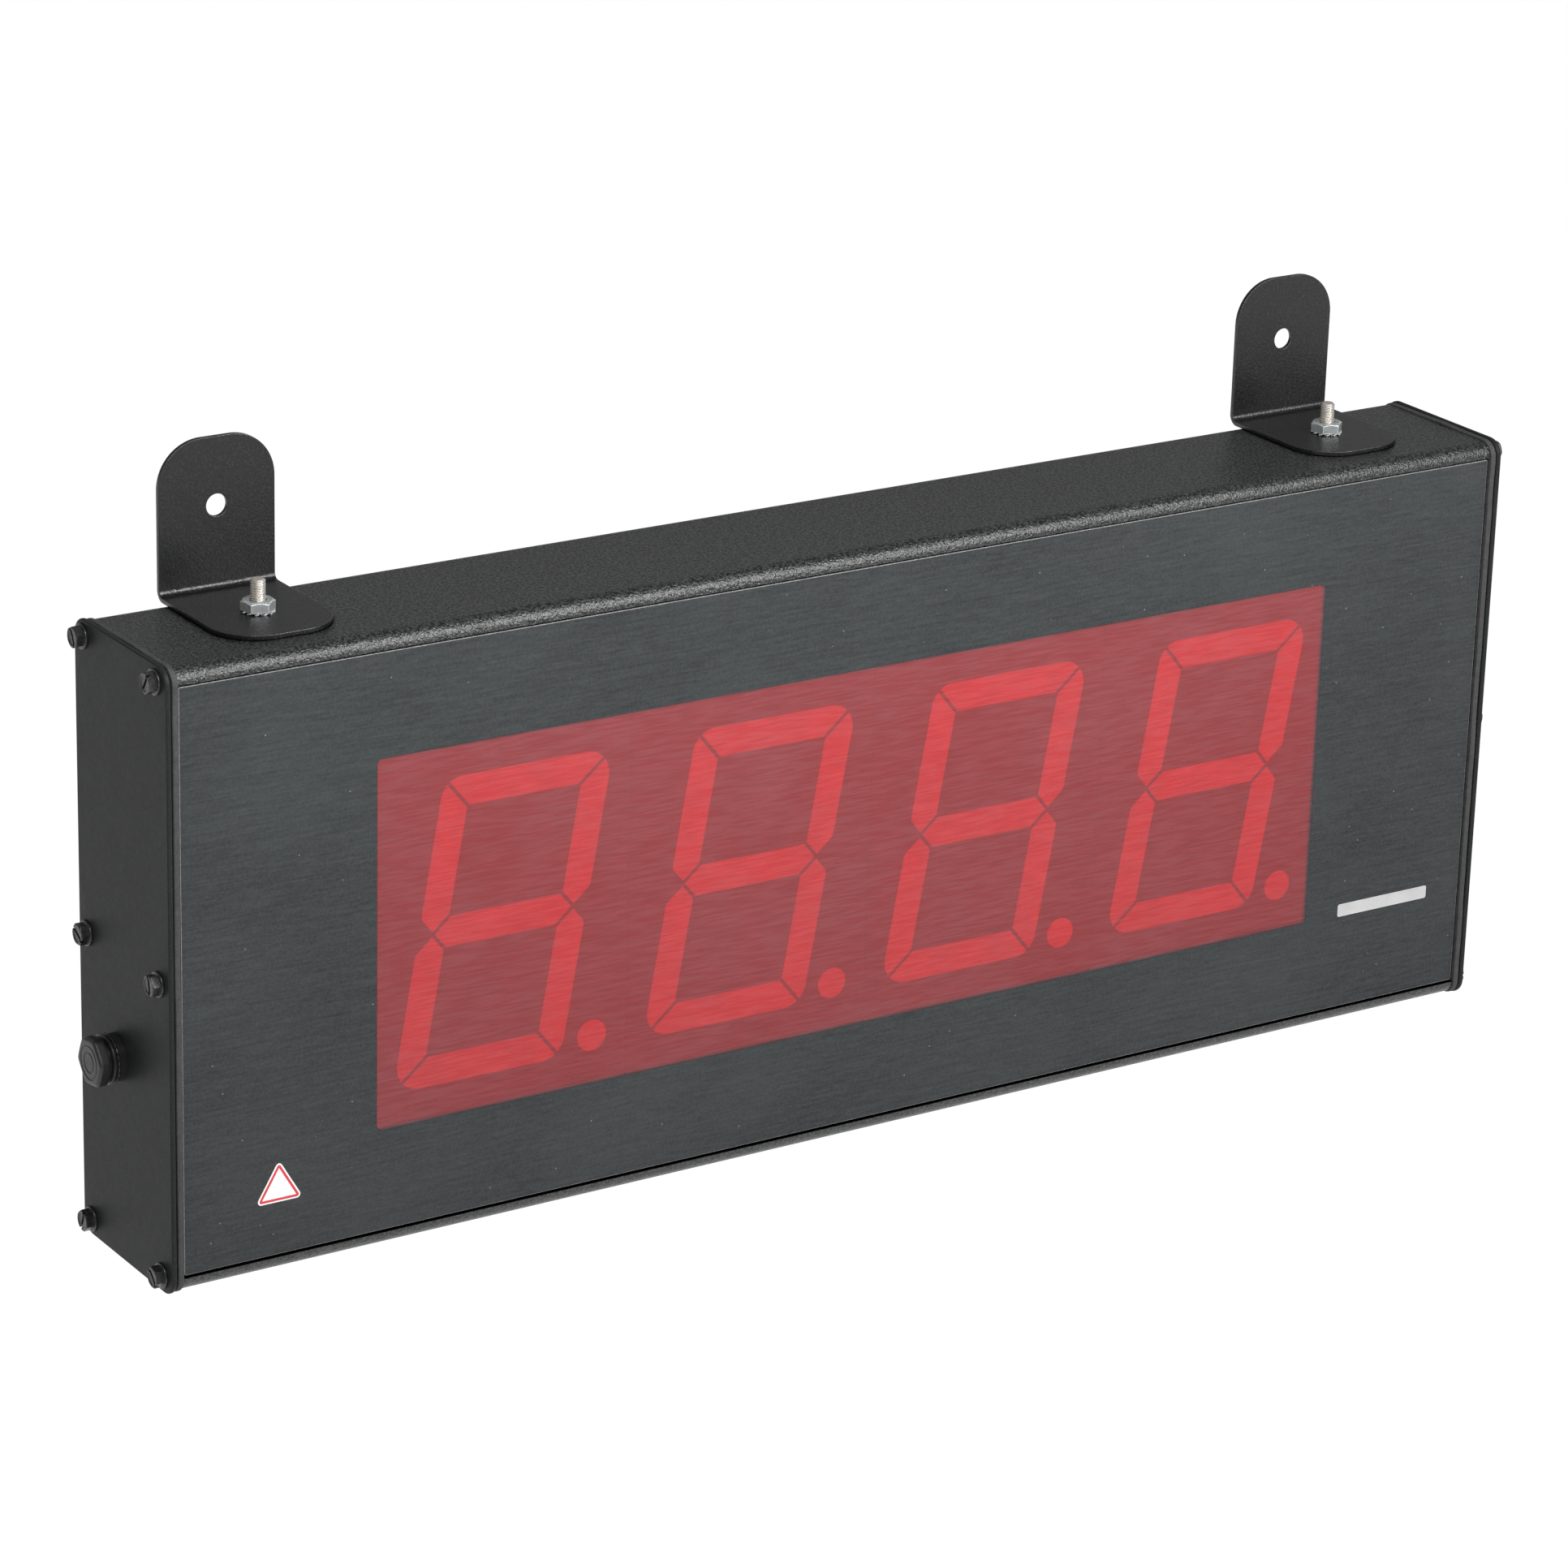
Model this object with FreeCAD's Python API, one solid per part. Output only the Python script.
"""Four-digit LED process display in a hanging case, in millimetres.

The origin is midway between the two hanging holes, in the plane of the wall behind the brackets.
+X runs along the case to the right as seen from the front, +Y points into the wall, +Z is up.
Each sub-part is written to parts/NODE.step.
"""

import FreeCAD, Part
import math
import os

Vector = FreeCAD.Vector
X_AXIS = Vector(1, 0, 0)
Y_AXIS = Vector(0, 1, 0)
Z_AXIS = Vector(0, 0, 1)

# ---------------------------------------------------------------- driving dimensions

# Case: an extruded tube, open at both ends, with six screw ports along its walls
case_length = 499.4
case_height = 202.0
case_depth = 59.2
case_corner = 5.0
case_wall = 2.6
front_web = 2.2
wall_gap = 2.0
port_radius = 3.6
port_bore = 2.15
port_from_top = 4.6
port_from_front = 6.3
port_from_back = 4.6
opening_margin = 1.0

# Front overlay and window
overlay_length = 499.0
overlay_height = 191.5
overlay_sheet = 0.6
overlay_recess = 0.6
overlay_slack = 0.4
overlay_corner = 0.6
window_length = 364.2
window_height = 122.9
window_corner = 2.0
window_pane = 0.9
window_slack = 0.1

# Digits: 4 inch characters, seven strokes and a point each
digit_count = 4
digit_height = 101.6
digit_width = 61.0
digit_stroke = 10.3
digit_gap = 0.9
digit_slant = math.radians(10.0)
digit_corner = 8.4
stroke_corner = 3.4
point_radius = 5.4
point_from_centre = 32.8
module_pitch = 91.1
module_height = 122.6
module_slack = 0.06
module_depth = 14.0
module_corner = 0.8
diffuser_depth = 3.0
well_slack = 0.08
led_radius = 1.5
led_height = 3.5
leds_per_stroke = 4
led_span = 30.0
face_gap = 0.15

# End plates, gaskets and their slotted hex washer-head screws
end_rim = 0.8
gasket_sheet = 2.5
plate_sheet = 1.8
plate_edge = 0.5
screw_hole = 2.3
screw_shank = 2.05
screw_length = 14.0
screw_flats = 6.35
screw_head = 2.7
screw_washer = 4.15
screw_washer_sheet = 0.8
screw_slot = 1.1
screw_slot_depth = 1.3
screw_slot_turn = 20.0
screw_turn_step = 17.0

# Hanging brackets: equal-leg angles of sheet steel, each held by a stud and a nut
bracket_leg = 50.0
bracket_width = 40.0
bracket_sheet = 1.6
bracket_bend = 2.0
bracket_corner = 15.0
hole_from_heel = 28.0
hanger_spacing = 410.0
hanger_hole = 3.57
stud_radius = 2.4
stud_fit = 0.08
stud_chamfer = 0.5
stud_above_case = 12.1
stud_head_flats = 8.0
stud_head = 3.0
stud_seal = 1.2
stud_seal_radius = 6.0
nut_flats = 9.525
nut_height = 3.2
nut_turn = 10.0
tooth_washer_sheet = 0.7
tooth_washer_inner = 4.3
tooth_root = 0.4
tooth_length = 0.95
tooth_width = 1.3
tooth_count = 12

# Vent plug in the left end plate
vent_from_back = 23.6
vent_below_middle = 34.4
vent_flats = 15.0
vent_hex = 3.8
vent_hex_corner = 1.6
vent_turn = 38.0
vent_neck = 6.4
vent_neck_length = 1.0
vent_collar = 8.1
vent_collar_length = 2.4
vent_collar_groove = 0.4
vent_seal_length = 2.2
vent_seal_radius = 7.6
vent_thread = 6.0
vent_thread_length = 12.5
vent_hole = 6.1
vent_nut_flats = 17.0
vent_nut_length = 4.0
vent_nut_turn = 12.0
vent_nut_bore = 6.1
vent_clearance = 11.0

# Labels on the overlay
label_sheet = 0.15
sticker_x = -216.4
sticker_below_middle = 71.3
sticker_width = 14.2
sticker_height = 12.8
sticker_corner = 1.2
strip_x = 215.5
strip_below_middle = 59.5
strip_length = 39.0
strip_height = 4.6
strip_corner = 0.8

# Boards, posts and board screws
board_sheet = 1.6
board_corner = 2.0
display_board_length = 380.0
display_board_height = 148.0
display_post_x = 183.0
display_post_z = 68.0
main_board_left = -40.0
main_board_right = 235.0
main_board_height = 100.0
main_board_stand = 8.0
main_post_inset = 6.0
post_flats = 6.0
post_bore = 1.55
post_bore_depth = 7.0
board_hole = 1.7
board_screw = 1.45
board_screw_length = 6.0
board_screw_head = 2.8
board_screw_head_height = 2.0
board_screw_edge = 0.8
cross_width = 0.7
cross_length = 3.2
cross_depth = 1.0

# Parts on the main board, placed by x and by height above the middle of the case
seat_gap = 0.1
transformer_x = -8.0
transformer_z = 22.0
core_width = 44.0
core_height = 38.0
core_stack = 14.0
core_leg = 12.0
core_slack = 0.3
coil_wall = 8.0
coil_overhang = 4.8
coil_corner = 2.0
can_edge = 0.8
large_can_radius = 8.0
large_can_rise = 24.0
large_can_places = ((34.0, 30.0), (54.0, 30.0))
small_can_radius = 6.25
small_can_rise = 20.0
small_can_places = ((36.0, 8.0), (52.0, 8.0))
fuse_x = 10.0
fuse_z = -30.0
fuse_length = 20.0
fuse_radius = 2.5
fuse_cap_length = 5.0
fuse_cap_wall = 0.15
fuse_rise = 6.0
clip_width = 3.6
clip_height = 8.0
clip_mouth = 4.2
clip_slack = 0.1
diode_count = 4
diode_x = 34.0
diode_pitch = 7.0
diode_z = -36.0
diode_radius = 2.6
diode_length = 9.0
diode_rise = 3.0
sink_x = 84.0
sink_z = 22.0
sink_web = 3.0
sink_height = 36.0
sink_rise = 22.0
fin_count = 7
fin_pitch = 5.0
fin_length = 10.2
fin_sheet = 1.4
regulator_width = 10.0
regulator_tab = 1.2
regulator_tab_rise = 19.0
regulator_body = 3.4
regulator_body_rise = 13.0
regulator_gap = 0.2
processor_x = 128.0
processor_z = 8.0
processor_side = 20.0
processor_rise = 2.0
driver_count = 4
driver_x = 112.0
driver_pitch = 16.0
driver_z = 34.0
driver_width = 8.0
driver_height = 20.0
driver_rise = 2.6
terminal_pitch = 5.08
terminal_depth = 12.0
terminal_rise = 16.0
terminal_edge = 233.0
terminal_entry = 3.5
terminal_entry_width = 3.0
terminal_entry_depth = 9.0
terminal_entry_rise = 3.0
terminal_well = 2.0
terminal_well_depth = 7.0
terminal_well_inset = 6.0
terminal_screw = 1.9
terminal_screw_length = 4.0
terminal_screw_sunk = 3.0
terminal_screw_slot = 0.6
supply_ways = 3
supply_z = -31.0
signal_ways = 10
signal_z = 12.0
switch_x = 196.0
switch_z = 12.0
switch_ways = 4
switch_pitch = 2.54
switch_rim = 0.6
switch_depth = 6.2
switch_rise = 5.0
slider_travel = 1.8
slider_width = 1.3
slider_length = 1.6
slider_stem = 2.2
slider_above = 0.9
slider_slack = 0.15
ribbon_x = 165.0
ribbon_z = -20.0
ribbon_width = 20.0
ribbon_sheet = 1.0
ribbon_bend = 3.0
ribbon_reach = 14.0
ribbon_sunk = 2.0
header_depth = 6.0
header_rise = 9.0
header_rim = 2.0

# Earth connection on the back wall
earth_x = 205.0
earth_z = -72.0
earth_radius = 2.0
earth_height = 14.0
earth_nut_flats = 7.0
earth_nut_height = 3.2
earth_nut_offsets = (1.2, 5.2)
earth_nut_turn = 20.0
tag_radius = 4.2
tag_sheet = 0.9
tag_tongue = 9.0
tag_tongue_width = 3.2
tag_slack = 0.15
wire_radius = 1.2
wire_above_tag = 2.1
wire_reach = 5.0
wire_bends = (5.0, 4.5, 3.2)

# ---------------------------------------------------------------- places that follow from them

case_top = -hole_from_heel
case_bottom = case_top - case_height
middle = (case_top + case_bottom) / 2
case_back = -wall_gap - end_rim
case_front = case_back - case_depth
case_end = case_length / 2
plate_inner = case_end + gasket_sheet
plate_outer = plate_inner + plate_sheet
overlay_face = case_front + overlay_recess
recess_floor = overlay_face + overlay_sheet
inner_front = recess_floor + front_web
inner_back = case_back - case_wall
port_front = case_front + port_from_front
port_back = case_back - port_from_back
port_rows = (case_top - port_from_top, middle, case_bottom + port_from_top)
port_places = [(y, z) for y in (port_front, port_back) for z in port_rows]
digit_face = overlay_face + window_pane + face_gap
board_face = digit_face + module_depth
display_board_back = board_face + board_sheet
main_board_back = inner_back - main_board_stand
main_board_face = main_board_back - board_sheet
component_seat = main_board_face - seat_gap
hanger_places = (-hanger_spacing / 2, hanger_spacing / 2)
stud_y = -hole_from_heel
foot_top = case_top + bracket_sheet
washer_top = foot_top + tooth_washer_sheet
vent_y = case_back - vent_from_back
vent_z = middle - vent_below_middle
display_posts = [(x, s * display_post_z) for x in (-display_post_x, 0, display_post_x) for s in (-1, 1)]
main_post_z = main_board_height / 2 - main_post_inset
main_post_x = (main_board_left + main_post_inset, (main_board_left + main_board_right) / 2,
               main_board_right - main_post_inset)
main_posts = [(x, s * main_post_z) for x in main_post_x for s in (-1, 1)]
switch_top = component_seat - switch_rise


# ---------------------------------------------------------------- helpers

def box(x0, x1, y0, y1, z0, z1):
    return Part.makeBox(x1 - x0, y1 - y0, z1 - z0, Vector(x0, y0, z0))


def rod(base, axis, radius, length):
    return Part.makeCylinder(radius, length, base, axis)


def outline(points, radii):
    """A flat face through the points, with an arc of the given radius at each corner."""
    starts = []
    ends = []
    edges = []
    count = len(points)
    for i, corner in enumerate(points):
        before = (points[i - 1] - corner).normalize()
        after = (points[(i + 1) % count] - corner).normalize()
        half = before.getAngle(after) / 2
        reach = radii[i] / math.tan(half)
        starts.append(corner + before * reach)
        ends.append(corner + after * reach)
        if radii[i]:
            bisector = (before + after).normalize()
            crown = corner + bisector * (radii[i] / math.sin(half) - radii[i])
            edges.append(Part.Arc(starts[i], crown, ends[i]).toShape())
    for i in range(count):
        edges.append(Part.LineSegment(ends[i - 1], starts[i]).toShape())
    return Part.Face(Part.Wire(Part.__sortEdges__(edges)))


def slab_x(x0, x1, y0, y1, z0, z1, radius):
    """A prism along X with its four long edges rounded."""
    points = [Vector(x0, y0, z0), Vector(x0, y1, z0), Vector(x0, y1, z1), Vector(x0, y0, z1)]
    return outline(points, [radius] * 4).extrude(Vector(x1 - x0, 0, 0))


def slab_y(x0, x1, y0, y1, z0, z1, radius):
    """A prism along Y with its four long edges rounded."""
    points = [Vector(x0, y0, z0), Vector(x1, y0, z0), Vector(x1, y0, z1), Vector(x0, y0, z1)]
    return outline(points, [radius] * 4).extrude(Vector(0, y1 - y0, 0))


def hexagon(centre, axis, flats, length, turn=0.0, corner=0.0):
    """A hexagonal prism that starts at centre and runs along axis, turned about it in degrees."""
    across = flats / math.sqrt(3)
    points = []
    for i in range(6):
        angle = math.radians(60 * i)
        points.append(Vector(across * math.cos(angle), across * math.sin(angle), 0))
    solid = outline(points, [corner] * 6).extrude(Vector(0, 0, length))
    solid.rotate(Vector(), Z_AXIS, turn)
    solid.Placement = FreeCAD.Placement(centre, FreeCAD.Rotation(Z_AXIS, axis)) * solid.Placement
    return solid


def chamfered_hexagon(centre, axis, flats, length, turn=0.0, corner=0.0):
    """A hexagonal prism whose far end is turned down to a cone at 30 degrees."""
    reach = 1.01 * flats / math.sqrt(3)
    tip = 0.98 * flats / 2
    rise = (reach - tip) * math.tan(math.radians(30))
    cone = Part.makeCone(reach, tip, rise, centre + axis * (length - rise), axis)
    envelope = rod(centre, axis, reach, length - rise).fuse(cone)
    return hexagon(centre, axis, flats, length, turn, corner).common(envelope)


def pipe(points, radius, bends):
    """A round wire along straight runs joined by arcs."""
    edges = []
    start = points[0]
    for i, bend in enumerate(bends):
        corner = points[i + 1]
        before = (start - corner).normalize()
        after = (points[i + 2] - corner).normalize()
        half = before.getAngle(after) / 2
        reach = bend / math.tan(half)
        begin = corner + before * reach
        end = corner + after * reach
        crown = corner + (before + after).normalize() * (bend / math.sin(half) - bend)
        edges.append(Part.LineSegment(start, begin).toShape())
        edges.append(Part.Arc(begin, crown, end).toShape())
        start = end
    edges.append(Part.LineSegment(start, points[-1]).toShape())
    circle = Part.makeCircle(radius, points[0], points[1] - points[0])
    return Part.Wire(edges).makePipeShell([Part.Wire(circle)], True, True)


def fuse(shapes):
    return shapes[0].multiFuse(shapes[1:]).removeSplitter()


def group(shapes):
    """Separate solids that share one node."""
    return Part.makeCompound(shapes)


def on_board(x, z, width, height, rise):
    """A block on the face of the main board, z counted from the middle of the case."""
    return box(x - width / 2, x + width / 2, component_seat - rise, component_seat,
               middle + z - height / 2, middle + z + height / 2)


# ---------------------------------------------------------------- case and front

def case_body():
    outer = slab_x(-case_end, case_end, case_front, case_back, case_bottom, case_top, case_corner)
    cavity = slab_x(-case_end, case_end, inner_front, inner_back,
                    case_bottom + case_wall, case_top - case_wall, case_corner - case_wall)
    shell = outer.cut(cavity)
    ports = []
    for y, z in port_places:
        ports.append(rod(Vector(-case_end, y, z), X_AXIS, port_radius, case_length))
    shell = fuse([shell] + ports)
    recess_half = overlay_height / 2 + overlay_slack
    cuts = [box(-case_end, case_end, case_front - 1, recess_floor,
                middle - recess_half, middle + recess_half)]
    half_length = digit_count * module_pitch / 2 + opening_margin
    half_height = module_height / 2 + opening_margin
    cuts.append(slab_y(-half_length, half_length, case_front - 1, port_front + port_radius + 1,
                       middle - half_height, middle + half_height, window_corner))
    for y, z in port_places:
        cuts.append(rod(Vector(-case_end, y, z), X_AXIS, port_bore, case_length))
    for x in hanger_places:
        cuts.append(rod(Vector(x, stud_y, case_top - 2 * case_wall), Z_AXIS,
                        stud_radius + 2 * stud_fit, 3 * case_wall))
    return shell.cut(group(cuts))


def front_overlay():
    sheet = slab_y(-overlay_length / 2, overlay_length / 2, overlay_face, recess_floor,
                   middle - overlay_height / 2, middle + overlay_height / 2, overlay_corner)
    half_x = window_length / 2
    half_z = window_height / 2
    aperture = slab_y(-half_x, half_x, overlay_face - 1, recess_floor + 1,
                      middle - half_z, middle + half_z, window_corner)
    return sheet.cut(aperture)


def red_window():
    half_x = window_length / 2 - window_slack
    half_z = window_height / 2 - window_slack
    return slab_y(-half_x, half_x, overlay_face, overlay_face + window_pane,
                  middle - half_z, middle + half_z, window_corner - window_slack)


# ---------------------------------------------------------------- digits

def lean(x, z):
    """A point of the upright character, leaned over by the slant."""
    return Vector(x + z * math.tan(digit_slant), 0, z)


def stroke_corners():
    """The seven strokes of one character, each as its corner points and corner radii."""
    w = (digit_width + digit_gap) / 2
    h = (digit_height + digit_gap) / 2
    t = digit_stroke + digit_gap
    k = t / 2
    strokes = []
    for s in (1, -1):
        bar = [(-w, s * h), (w, s * h), (w - t, s * (h - t)), (-w + t, s * (h - t))]
        strokes.append((bar, [0] * 4))
        for m in (1, -1):
            side = [(m * w, s * h), (m * (w - t), s * (h - t)), (m * (w - t), s * k),
                    (m * (w - k), 0), (m * w, s * k)]
            strokes.append((side, [0, 0, 0, 0, stroke_corner]))
    centre = [(k - w, 0), (t - w, k), (w - t, k), (w - k, 0), (w - t, -k), (t - w, -k)]
    strokes.append((centre, [0] * 6))
    return strokes


def character(depth, growth):
    """The strokes and the point of one character as prisms along +Y, each grown by growth."""
    half_w = digit_width / 2 + growth
    half_h = digit_height / 2 + growth
    rim = [lean(-half_w, -half_h), lean(half_w, -half_h), lean(half_w, half_h), lean(-half_w, half_h)]
    envelope = outline(rim, [digit_corner + growth] * 4).extrude(Vector(0, depth, 0))
    solids = []
    for corners, radii in stroke_corners():
        face = outline([lean(x, z) for x, z in corners], radii)
        face = face.makeOffset2D(growth - digit_gap / 2, 2)
        solids.append(face.extrude(Vector(0, depth, 0)).common(envelope))
    point_z = point_radius - digit_height / 2
    solids.append(rod(Vector(point_from_centre, 0, point_z), Y_AXIS, point_radius + growth, depth))
    return solids


def led_places():
    """Where the LEDs of one character sit, across its face."""
    side = (digit_width - digit_stroke) / 2
    level = (digit_height - digit_stroke) / 2
    steps = [led_span * (i / (leds_per_stroke - 1) - 0.5) for i in range(leds_per_stroke)]
    places = []
    for step in steps:
        for z in (-level, 0, level):
            places.append(lean(step, z))
        for x in (-side, side):
            places.append(lean(x, level / 2 + step))
            places.append(lean(x, -level / 2 + step))
    places.append(Vector(point_from_centre, 0, point_radius - digit_height / 2))
    return places


def digit_centre(index):
    return Vector((index - (digit_count - 1) / 2) * module_pitch, digit_face, middle)


def digit_housing(index, wells):
    centre = digit_centre(index)
    half = module_pitch / 2 - module_slack / 2
    block = slab_y(centre.x - half, centre.x + half, digit_face, board_face,
                   middle - module_height / 2, middle + module_height / 2, module_corner)
    return block.cut(group([w.translated(centre) for w in wells]))


def digit_segments(index, diffusers):
    centre = digit_centre(index)
    return group([d.translated(centre) for d in diffusers])


def digit_leds(index, places):
    centre = digit_centre(index)
    centre.y = board_face
    return group([rod(centre + p, Y_AXIS * -1, led_radius, led_height) for p in places])


# ---------------------------------------------------------------- ends

def end_sheet(x0, x1, edge):
    """A blank with the outline of the end plates, its edges eased by edge."""
    blank = slab_x(x0, x1, case_front - end_rim, case_back + end_rim, case_bottom - end_rim,
                   case_top + end_rim, case_corner + end_rim)
    if edge:
        rims = [e for e in blank.Edges if abs(e.BoundBox.XLength) < 0.01]
        blank = blank.makeFillet(edge, rims)
    for y, z in port_places:
        blank = blank.cut(rod(Vector(x0 - 1, y, z), X_AXIS, screw_hole, x1 - x0 + 2))
    return blank


def vent_bore(radius):
    return rod(Vector(-plate_outer - 1, vent_y, vent_z), X_AXIS, radius, plate_outer)


def end_gasket(side):
    if side > 0:
        return end_sheet(case_end, plate_inner, 0)
    return end_sheet(-plate_inner, -case_end, 0).cut(vent_bore(vent_clearance))


def end_plate(side):
    if side > 0:
        return end_sheet(plate_inner, plate_outer, plate_edge)
    return end_sheet(-plate_outer, -plate_inner, plate_edge).cut(vent_bore(vent_hole))


def end_screw(side, y, z, turn):
    """A slotted hex washer-head screw through an end plate."""
    out = X_AXIS * side
    seat = Vector(side * plate_outer, y, z)
    head_base = seat + out * screw_washer_sheet
    head = chamfered_hexagon(head_base, out, screw_flats, screw_head, turn)
    slot = box(-screw_slot_depth, 1, -screw_slot / 2, screw_slot / 2, -screw_flats, screw_flats)
    slot.rotate(Vector(), X_AXIS, turn + screw_slot_turn)
    if side < 0:
        slot.rotate(Vector(), Z_AXIS, 180)
    slot.translate(head_base + out * screw_head)
    shank = rod(seat, out * -1, screw_shank, screw_length)
    return fuse([rod(seat, out, screw_washer, screw_washer_sheet), head, shank]).cut(slot)


def end_screws(side):
    return group([end_screw(side, y, z, screw_turn_step * i) for i, (y, z) in enumerate(port_places)])


# ---------------------------------------------------------------- hanging hardware

def bracket(x):
    """An angle whose foot lies on the case and whose upright stands against the wall."""
    leg = bracket_leg
    sheet = bracket_sheet
    half = bracket_width / 2
    top = case_top + leg
    profile = [Vector(x - half, 0, case_top), Vector(x - half, 0, top),
               Vector(x - half, -sheet, top), Vector(x - half, -sheet, foot_top),
               Vector(x - half, -leg, foot_top), Vector(x - half, -leg, case_top)]
    radii = [bracket_bend + sheet, 0, 0, bracket_bend, 0, 0]
    angle = outline(profile, radii).extrude(Vector(bracket_width, 0, 0))
    corners = [0, bracket_corner, bracket_corner, 0]
    foot_points = [Vector(x - half, 1, case_top - 1), Vector(x - half, -leg, case_top - 1),
                   Vector(x + half, -leg, case_top - 1), Vector(x + half, 1, case_top - 1)]
    upright_points = [Vector(x - half, 1, case_top - 1), Vector(x - half, 1, top),
                      Vector(x + half, 1, top), Vector(x + half, 1, case_top - 1)]
    angle = angle.common(outline(foot_points, corners).extrude(Vector(0, 0, leg + 2)))
    angle = angle.common(outline(upright_points, corners).extrude(Vector(0, -leg - 2, 0)))
    foot_hole = rod(Vector(x, stud_y, case_top - 1), Z_AXIS, stud_radius + stud_fit, sheet + 2)
    wall_hole = rod(Vector(x, -sheet - 1, 0), Y_AXIS, hanger_hole, sheet + 2)
    return angle.cut(foot_hole).cut(wall_hole)


def mounting_stud(x):
    """A hex-head bolt through the case top from inside, its head under the sealing washer."""
    under = case_top - case_wall - stud_seal
    tip_z = case_top + stud_above_case
    head = hexagon(Vector(x, stud_y, under - stud_head), Z_AXIS, stud_head_flats, stud_head)
    shank = rod(Vector(x, stud_y, under), Z_AXIS, stud_radius, tip_z - under)
    tip = [e for e in shank.Edges if e.BoundBox.ZMin > tip_z - 0.1]
    return fuse([head, shank.makeChamfer(stud_chamfer, tip)])


def stud_seal_washer(x):
    base = Vector(x, stud_y, case_top - case_wall - stud_seal)
    ring = rod(base, Z_AXIS, stud_seal_radius, stud_seal)
    return ring.cut(rod(base, Z_AXIS, stud_radius + stud_fit, stud_seal))


def keps_nut(x):
    base = Vector(x, stud_y, washer_top)
    nut = chamfered_hexagon(base, Z_AXIS, nut_flats, nut_height, nut_turn)
    return nut.cut(rod(base, Z_AXIS, stud_radius + stud_fit, nut_height))


def tooth_washer(x):
    """The toothed washer held captive under the nut."""
    base = Vector(x, stud_y, foot_top)
    pieces = [rod(base, Z_AXIS, tooth_washer_inner, tooth_washer_sheet)]
    for i in range(tooth_count):
        tooth = box(tooth_washer_inner - tooth_root, tooth_washer_inner + tooth_length,
                    -tooth_width / 2, tooth_width / 2, 0, tooth_washer_sheet)
        tooth.rotate(Vector(), Z_AXIS, 360.0 * i / tooth_count)
        pieces.append(tooth.translated(base))
    return fuse(pieces).cut(rod(base, Z_AXIS, stud_radius + stud_fit, tooth_washer_sheet))


# ---------------------------------------------------------------- vent plug

def vent_plug():
    """A hexagonal cap on a grooved collar, with a threaded shank through the end plate."""
    out = X_AXIS * -1
    collar = Vector(-plate_outer - vent_seal_length, vent_y, vent_z)
    neck = collar + out * vent_collar_length
    cap = neck + out * vent_neck_length
    ring_length = (vent_collar_length - vent_collar_groove) / 2
    pieces = [rod(collar, out, vent_collar, ring_length),
              rod(collar, out, vent_neck, vent_collar_length),
              rod(collar + out * (ring_length + vent_collar_groove), out, vent_collar, ring_length),
              rod(neck, out, vent_neck, vent_neck_length),
              chamfered_hexagon(cap, out, vent_flats, vent_hex, vent_turn, vent_hex_corner),
              rod(collar, X_AXIS, vent_thread, vent_thread_length)]
    return fuse(pieces)


def vent_seal():
    base = Vector(-plate_outer, vent_y, vent_z)
    ring = rod(base, X_AXIS * -1, vent_seal_radius, vent_seal_length)
    return ring.cut(rod(base, X_AXIS * -1, vent_nut_bore, vent_seal_length))


def vent_lock_nut():
    base = Vector(-plate_inner, vent_y, vent_z)
    nut = chamfered_hexagon(base, X_AXIS, vent_nut_flats, vent_nut_length, vent_nut_turn)
    return nut.cut(rod(base, X_AXIS, vent_nut_bore, vent_nut_length))


# ---------------------------------------------------------------- labels

def triangle_sticker():
    base_z = middle - sticker_below_middle - sticker_height / 2
    half = sticker_width / 2 + sticker_corner
    points = [Vector(sticker_x - half, overlay_face, base_z),
              Vector(sticker_x + half, overlay_face, base_z),
              Vector(sticker_x, overlay_face, base_z + sticker_height + sticker_corner)]
    return outline(points, [sticker_corner] * 3).extrude(Vector(0, -label_sheet, 0))


def name_strip():
    z = middle - strip_below_middle
    return slab_y(strip_x - strip_length / 2, strip_x + strip_length / 2, overlay_face - label_sheet,
                  overlay_face, z - strip_height / 2, z + strip_height / 2, strip_corner)


# ---------------------------------------------------------------- boards

def drill(board, places):
    for x, z in places:
        board = board.cut(rod(Vector(x, -case_depth, middle + z), Y_AXIS, board_hole, case_depth))
    return board


def display_board():
    half_x = display_board_length / 2
    half_z = display_board_height / 2
    board = slab_y(-half_x, half_x, board_face, display_board_back, middle - half_z, middle + half_z,
                   board_corner)
    return drill(board, display_posts)


def main_board():
    half_z = main_board_height / 2
    board = slab_y(main_board_left, main_board_right, main_board_face, main_board_back,
                   middle - half_z, middle + half_z, board_corner)
    return drill(board, main_posts)


def posts(places, board_back):
    """Hexagonal posts from the case's back wall to the back of a board."""
    solids = []
    for x, z in places:
        base = Vector(x, board_back, middle + z)
        post = hexagon(base, Y_AXIS, post_flats, inner_back - board_back)
        solids.append(post.cut(rod(base, Y_AXIS, post_bore, post_bore_depth)))
    return solids


def board_screws(places, face):
    """Pan-head screws that hold a board on its posts."""
    solids = []
    for x, z in places:
        base = Vector(x, face, middle + z)
        head = rod(base, Y_AXIS * -1, board_screw_head, board_screw_head_height)
        rim = [e for e in head.Edges if e.BoundBox.YMax < face - board_screw_head_height + 0.1]
        head = head.makeFillet(board_screw_edge, rim)
        recess = box(-cross_width / 2, cross_width / 2, -1, cross_depth, -cross_length / 2, cross_length / 2)
        cross = recess.fuse(recess.rotated(Vector(), Y_AXIS, 90))
        cross.translate(base - Y_AXIS * board_screw_head_height)
        solids.append(fuse([head, rod(base, Y_AXIS, board_screw, board_screw_length)]).cut(cross))
    return solids


# ---------------------------------------------------------------- parts on the main board

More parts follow.
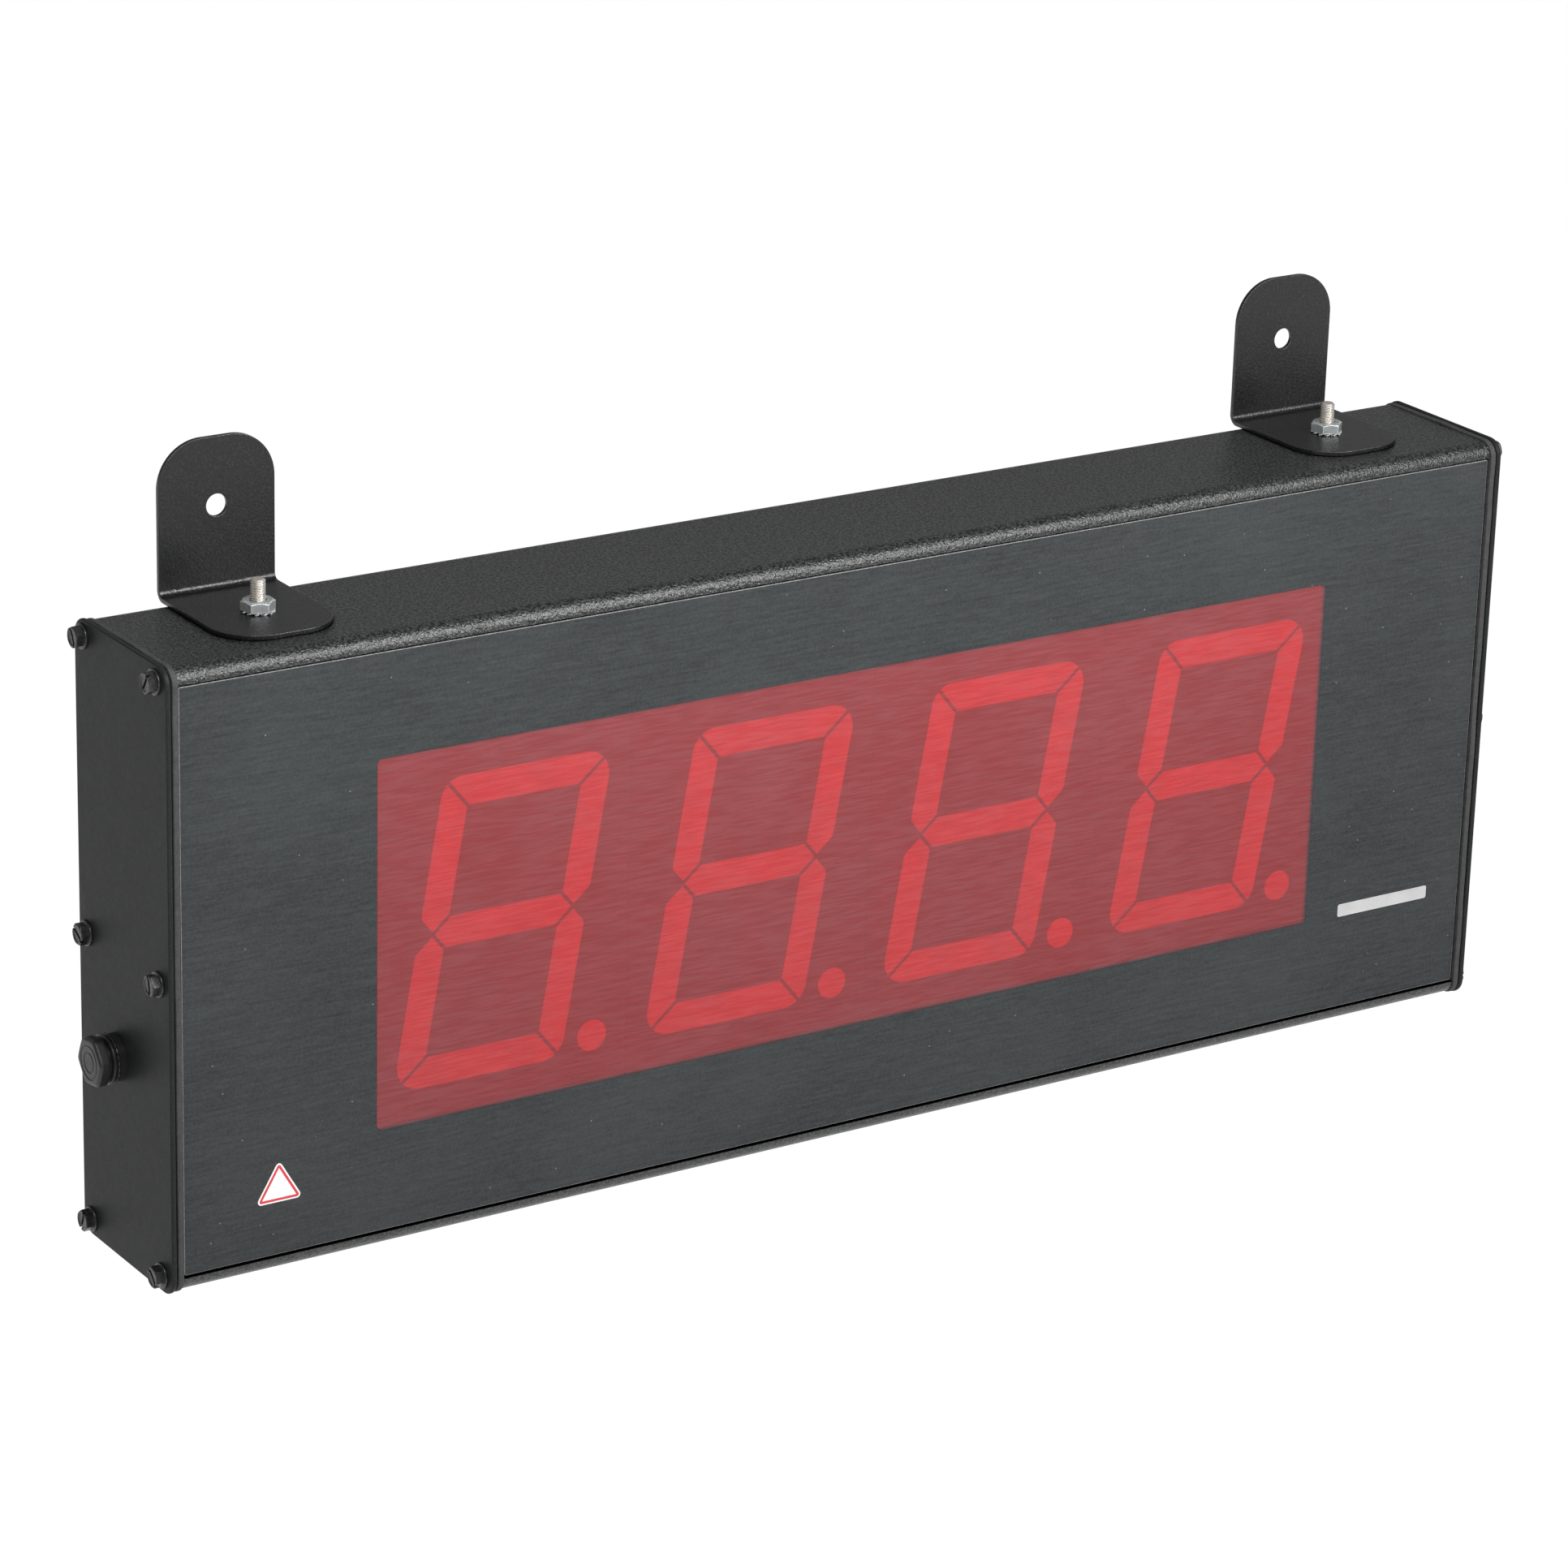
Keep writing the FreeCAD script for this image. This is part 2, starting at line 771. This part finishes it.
def transformer_core():
    core = on_board(transformer_x, transformer_z, core_width, core_height, core_stack)
    core.translate(Vector(0, -coil_overhang - core_slack / 2, 0))
    for side in (-1, 1):
        window_x = transformer_x + side * (core_leg / 2 + coil_wall / 2 + core_slack)
        window = on_board(window_x, transformer_z, coil_wall + 2 * core_slack, core_height - core_leg,
                          2 * core_stack)
        core = core.cut(window)
    return core


def transformer_winding():
    outer = on_board(transformer_x, transformer_z, core_leg + 2 * coil_wall,
                     core_height - core_leg - 2 * core_slack, core_stack + 2 * coil_overhang)
    edges = [e for e in outer.Edges if e.BoundBox.ZLength > coil_wall]
    outer = outer.makeFillet(coil_corner, edges)
    leg = on_board(transformer_x, transformer_z, core_leg + core_slack, core_height,
                   core_stack + core_slack)
    leg.translate(Vector(0, -coil_overhang, 0))
    return outer.cut(leg)


def standing_cans(places, radius, rise):
    """Electrolytic capacitors on end, their rims rounded."""
    solids = []
    for x, z in places:
        can = rod(Vector(x, component_seat, middle + z), Y_AXIS * -1, radius, rise)
        rim = [e for e in can.Edges if abs(e.BoundBox.YLength) < 0.01]
        solids.append(can.makeFillet(can_edge, rim))
    return solids


def glass_fuse():
    base = Vector(fuse_x - fuse_length / 2, main_board_face - fuse_rise, middle + fuse_z)
    pieces = [rod(base, X_AXIS, fuse_radius, fuse_length)]
    for offset in (0, fuse_length - fuse_cap_length):
        pieces.append(rod(base + X_AXIS * offset, X_AXIS, fuse_radius + fuse_cap_wall, fuse_cap_length))
    return fuse(pieces)


def fuse_clips():
    solids = []
    for side in (-1, 1):
        x = fuse_x + side * (fuse_length - fuse_cap_length) / 2
        clip = on_board(x, fuse_z, clip_width, clip_height, fuse_rise + 1.0)
        base = Vector(x - clip_width, main_board_face - fuse_rise, middle + fuse_z)
        clip = clip.cut(rod(base, X_AXIS, fuse_radius + fuse_cap_wall + clip_slack, 2 * clip_width))
        mouth = on_board(x, fuse_z, 2 * clip_width, clip_mouth, 2 * fuse_rise)
        mouth.translate(Vector(0, -fuse_rise, 0))
        solids.append(clip.cut(mouth))
    return group(solids)


def rectifier_diodes():
    solids = []
    for i in range(diode_count):
        base = Vector(diode_x + diode_pitch * i, main_board_face - diode_rise, middle + diode_z)
        solids.append(rod(base, Z_AXIS, diode_radius, diode_length))
    return group(solids)


def heat_sink():
    """A finned block that stands beside the regulator."""
    pieces = [on_board(sink_x, sink_z, sink_web, sink_height, sink_rise)]
    fin_x = sink_x + (sink_web + fin_length) / 2 - 0.1
    for i in range(fin_count):
        fin_z = sink_z + (i - (fin_count - 1) / 2) * fin_pitch
        pieces.append(on_board(fin_x, fin_z, fin_length, fin_sheet, sink_rise))
    return fuse(pieces)


def regulator():
    tab_x = sink_x - sink_web / 2 - regulator_gap - regulator_tab / 2
    body_x = tab_x - (regulator_tab + regulator_body) / 2
    return fuse([on_board(tab_x, sink_z, regulator_tab, regulator_width, regulator_tab_rise),
                 on_board(body_x, sink_z, regulator_body, regulator_width, regulator_body_rise)])


def driver_chips():
    chips = []
    for i in range(driver_count):
        chips.append(on_board(driver_x + driver_pitch * i, driver_z, driver_width, driver_height,
                              driver_rise))
    return group(chips)


def terminal_centres(ways, z):
    """The height of each way of a terminal block."""
    return [middle + z + (i + 0.5 - ways / 2) * terminal_pitch for i in range(ways)]


def terminal_block(ways, z):
    """A row of clamping cages whose wire entries face the right end plate."""
    block = on_board(terminal_edge - terminal_depth / 2, z, terminal_depth, ways * terminal_pitch,
                     terminal_rise)
    entry_y = component_seat - terminal_entry_rise
    half = terminal_entry_width / 2
    for centre in terminal_centres(ways, z):
        entry = box(terminal_edge - terminal_entry_depth, terminal_edge + 1,
                    entry_y - terminal_entry, entry_y, centre - half, centre + half)
        well_base = Vector(terminal_edge - terminal_well_inset, component_seat - terminal_rise, centre)
        block = block.cut(entry).cut(rod(well_base, Y_AXIS, terminal_well, terminal_well_depth))
    return block


def terminal_screws():
    solids = []
    half = terminal_screw_slot / 2
    for ways, z in ((supply_ways, supply_z), (signal_ways, signal_z)):
        for centre in terminal_centres(ways, z):
            base = Vector(terminal_edge - terminal_well_inset,
                          component_seat - terminal_rise + terminal_screw_sunk, centre)
            slot = box(-half, half, -1, 1, -terminal_well, terminal_well)
            slot.translate(base)
            solids.append(rod(base, Y_AXIS, terminal_screw, terminal_screw_length).cut(slot))
    return group(solids)


def slider_centre(index):
    return middle + switch_z + (index - (switch_ways - 1) / 2) * switch_pitch


def setup_switch():
    """The switch bank, with a slot for each slider along X."""
    length = switch_ways * switch_pitch + 2 * switch_rim
    block = on_board(switch_x, switch_z, switch_depth, length, switch_rise)
    half_slot = (slider_travel + slider_length) / 2 + slider_slack
    half_width = slider_width / 2 + slider_slack
    for i in range(switch_ways):
        centre = slider_centre(i)
        block = block.cut(box(switch_x - half_slot, switch_x + half_slot, switch_top - 1,
                              switch_top + slider_stem + slider_slack,
                              centre - half_width, centre + half_width))
    return block


def switch_slider(index):
    """One slider, at the end of its slot nearest the left of the case."""
    left = switch_x - (slider_travel + slider_length) / 2
    centre = slider_centre(index)
    return box(left, left + slider_length, switch_top - slider_above, switch_top + slider_stem,
               centre - slider_width / 2, centre + slider_width / 2)


def ribbon_headers():
    height = ribbon_width + 2 * header_rim
    lower = on_board(ribbon_x, ribbon_z, header_depth, height, header_rise)
    back = display_board_back + seat_gap
    upper = box(ribbon_x - header_depth / 2, ribbon_x + header_depth / 2, back, back + header_rise,
                middle + ribbon_z - height / 2, middle + ribbon_z + height / 2)
    return group([lower, upper])


def ribbon_cable():
    """A flat cable folded into a C between the two headers."""
    y0 = display_board_back + seat_gap + header_rise - ribbon_sunk
    y1 = component_seat - header_rise + ribbon_sunk
    x0 = ribbon_x + header_depth / 2
    x1 = x0 + ribbon_reach
    z0 = middle + ribbon_z - ribbon_width / 2
    sheet = ribbon_sheet
    points = [Vector(x0, y0 - sheet, z0), Vector(x1, y0 - sheet, z0), Vector(x1, y1 + sheet, z0),
              Vector(x0, y1 + sheet, z0), Vector(x0, y1, z0), Vector(x1 - sheet, y1, z0),
              Vector(x1 - sheet, y0, z0), Vector(x0, y0, z0)]
    outside = ribbon_bend + sheet
    radii = [0, outside, outside, 0, 0, ribbon_bend, ribbon_bend, 0]
    return outline(points, radii).extrude(Vector(0, 0, ribbon_width))


# ---------------------------------------------------------------- earth connection

def earth_stud():
    return rod(Vector(earth_x, inner_back, middle + earth_z), Y_AXIS * -1, earth_radius, earth_height)


def earth_nuts():
    solids = []
    for i, offset in enumerate(earth_nut_offsets):
        base = Vector(earth_x, inner_back - offset, middle + earth_z)
        nut = hexagon(base, Y_AXIS * -1, earth_nut_flats, earth_nut_height, earth_nut_turn * i)
        solids.append(nut.cut(rod(base, Y_AXIS * -1, earth_radius + stud_fit, earth_nut_height)))
    return group(solids)


def earth_lead():
    """A ring tag on the earth stud and its wire up to the supply terminals."""
    base = Vector(earth_x, inner_back - seat_gap, middle + earth_z)
    half = tag_tongue_width / 2
    tongue = box(earth_x, earth_x + tag_tongue, base.y - tag_sheet, base.y, base.z - half, base.z + half)
    tag = fuse([rod(base, Y_AXIS * -1, tag_radius, tag_sheet), tongue])
    tag = tag.cut(rod(base, Y_AXIS * -1, earth_radius + tag_slack, 2 * tag_sheet))
    wire_y = base.y - wire_above_tag
    rise_x = terminal_edge + wire_reach
    entry_y = component_seat - terminal_entry_rise - terminal_entry / 2
    entry_z = terminal_centres(supply_ways, supply_z)[0]
    route = [Vector(earth_x + wire_reach, wire_y, base.z), Vector(rise_x, wire_y, base.z),
             Vector(rise_x, wire_y, entry_z), Vector(rise_x, entry_y, entry_z),
             Vector(terminal_edge - terminal_well_inset, entry_y, entry_z)]
    return group([tag, pipe(route, wire_radius, wire_bends)])


# ---------------------------------------------------------------- the whole display

def build():
    """Every node's name and shape."""
    left, right = hanger_places
    cans = (standing_cans(large_can_places, large_can_radius, large_can_rise)
            + standing_cans(small_can_places, small_can_radius, small_can_rise))
    nodes = {
        "case_body": case_body(),
        "front_overlay": front_overlay(),
        "red_window": red_window(),
        "end_plate_left": end_plate(-1),
        "end_plate_right": end_plate(1),
        "end_gasket_left": end_gasket(-1),
        "end_gasket_right": end_gasket(1),
        "end_screws_left": end_screws(-1),
        "end_screws_right": end_screws(1),
        "bracket_left": bracket(left),
        "bracket_right": bracket(right),
        "mounting_studs": group([mounting_stud(x) for x in hanger_places]),
        "stud_seal_washers": group([stud_seal_washer(x) for x in hanger_places]),
        "keps_nuts": group([keps_nut(x) for x in hanger_places]),
        "tooth_washers": group([tooth_washer(x) for x in hanger_places]),
        "vent_plug": vent_plug(),
        "vent_seal": vent_seal(),
        "vent_lock_nut": vent_lock_nut(),
        "triangle_sticker": triangle_sticker(),
        "name_strip": name_strip(),
        "display_board": display_board(),
        "main_board": main_board(),
        "board_posts": group(posts(display_posts, display_board_back)
                             + posts(main_posts, main_board_back)),
        "board_screws": group(board_screws(display_posts, board_face)
                              + board_screws(main_posts, main_board_face)),
        "transformer_core": transformer_core(),
        "transformer_winding": transformer_winding(),
        "filter_capacitors": group(cans),
        "fuse": glass_fuse(),
        "fuse_clips": fuse_clips(),
        "rectifier_diodes": rectifier_diodes(),
        "heat_sink": heat_sink(),
        "regulator": regulator(),
        "processor": on_board(processor_x, processor_z, processor_side, processor_side, processor_rise),
        "driver_chips": driver_chips(),
        "supply_terminals": terminal_block(supply_ways, supply_z),
        "signal_terminals": terminal_block(signal_ways, signal_z),
        "terminal_screws": terminal_screws(),
        "setup_switch": setup_switch(),
        "ribbon_headers": ribbon_headers(),
        "ribbon_cable": ribbon_cable(),
        "earth_stud": earth_stud(),
        "earth_nuts": earth_nuts(),
        "earth_lead": earth_lead(),
    }
    diffusers = character(diffuser_depth, 0)
    wells = character(module_depth, well_slack)
    places = led_places()
    for i in range(digit_count):
        nodes[f"digit_housing_{i + 1}"] = digit_housing(i, wells)
        nodes[f"digit_segments_{i + 1}"] = digit_segments(i, diffusers)
        nodes[f"digit_leds_{i + 1}"] = digit_leds(i, places)
    for i in range(switch_ways):
        nodes[f"switch_slider_{i + 1}"] = switch_slider(i)
    return nodes


os.makedirs("parts", exist_ok=True)
for name, shape in build().items():
    shape.exportStep(f"parts/{name}.step")
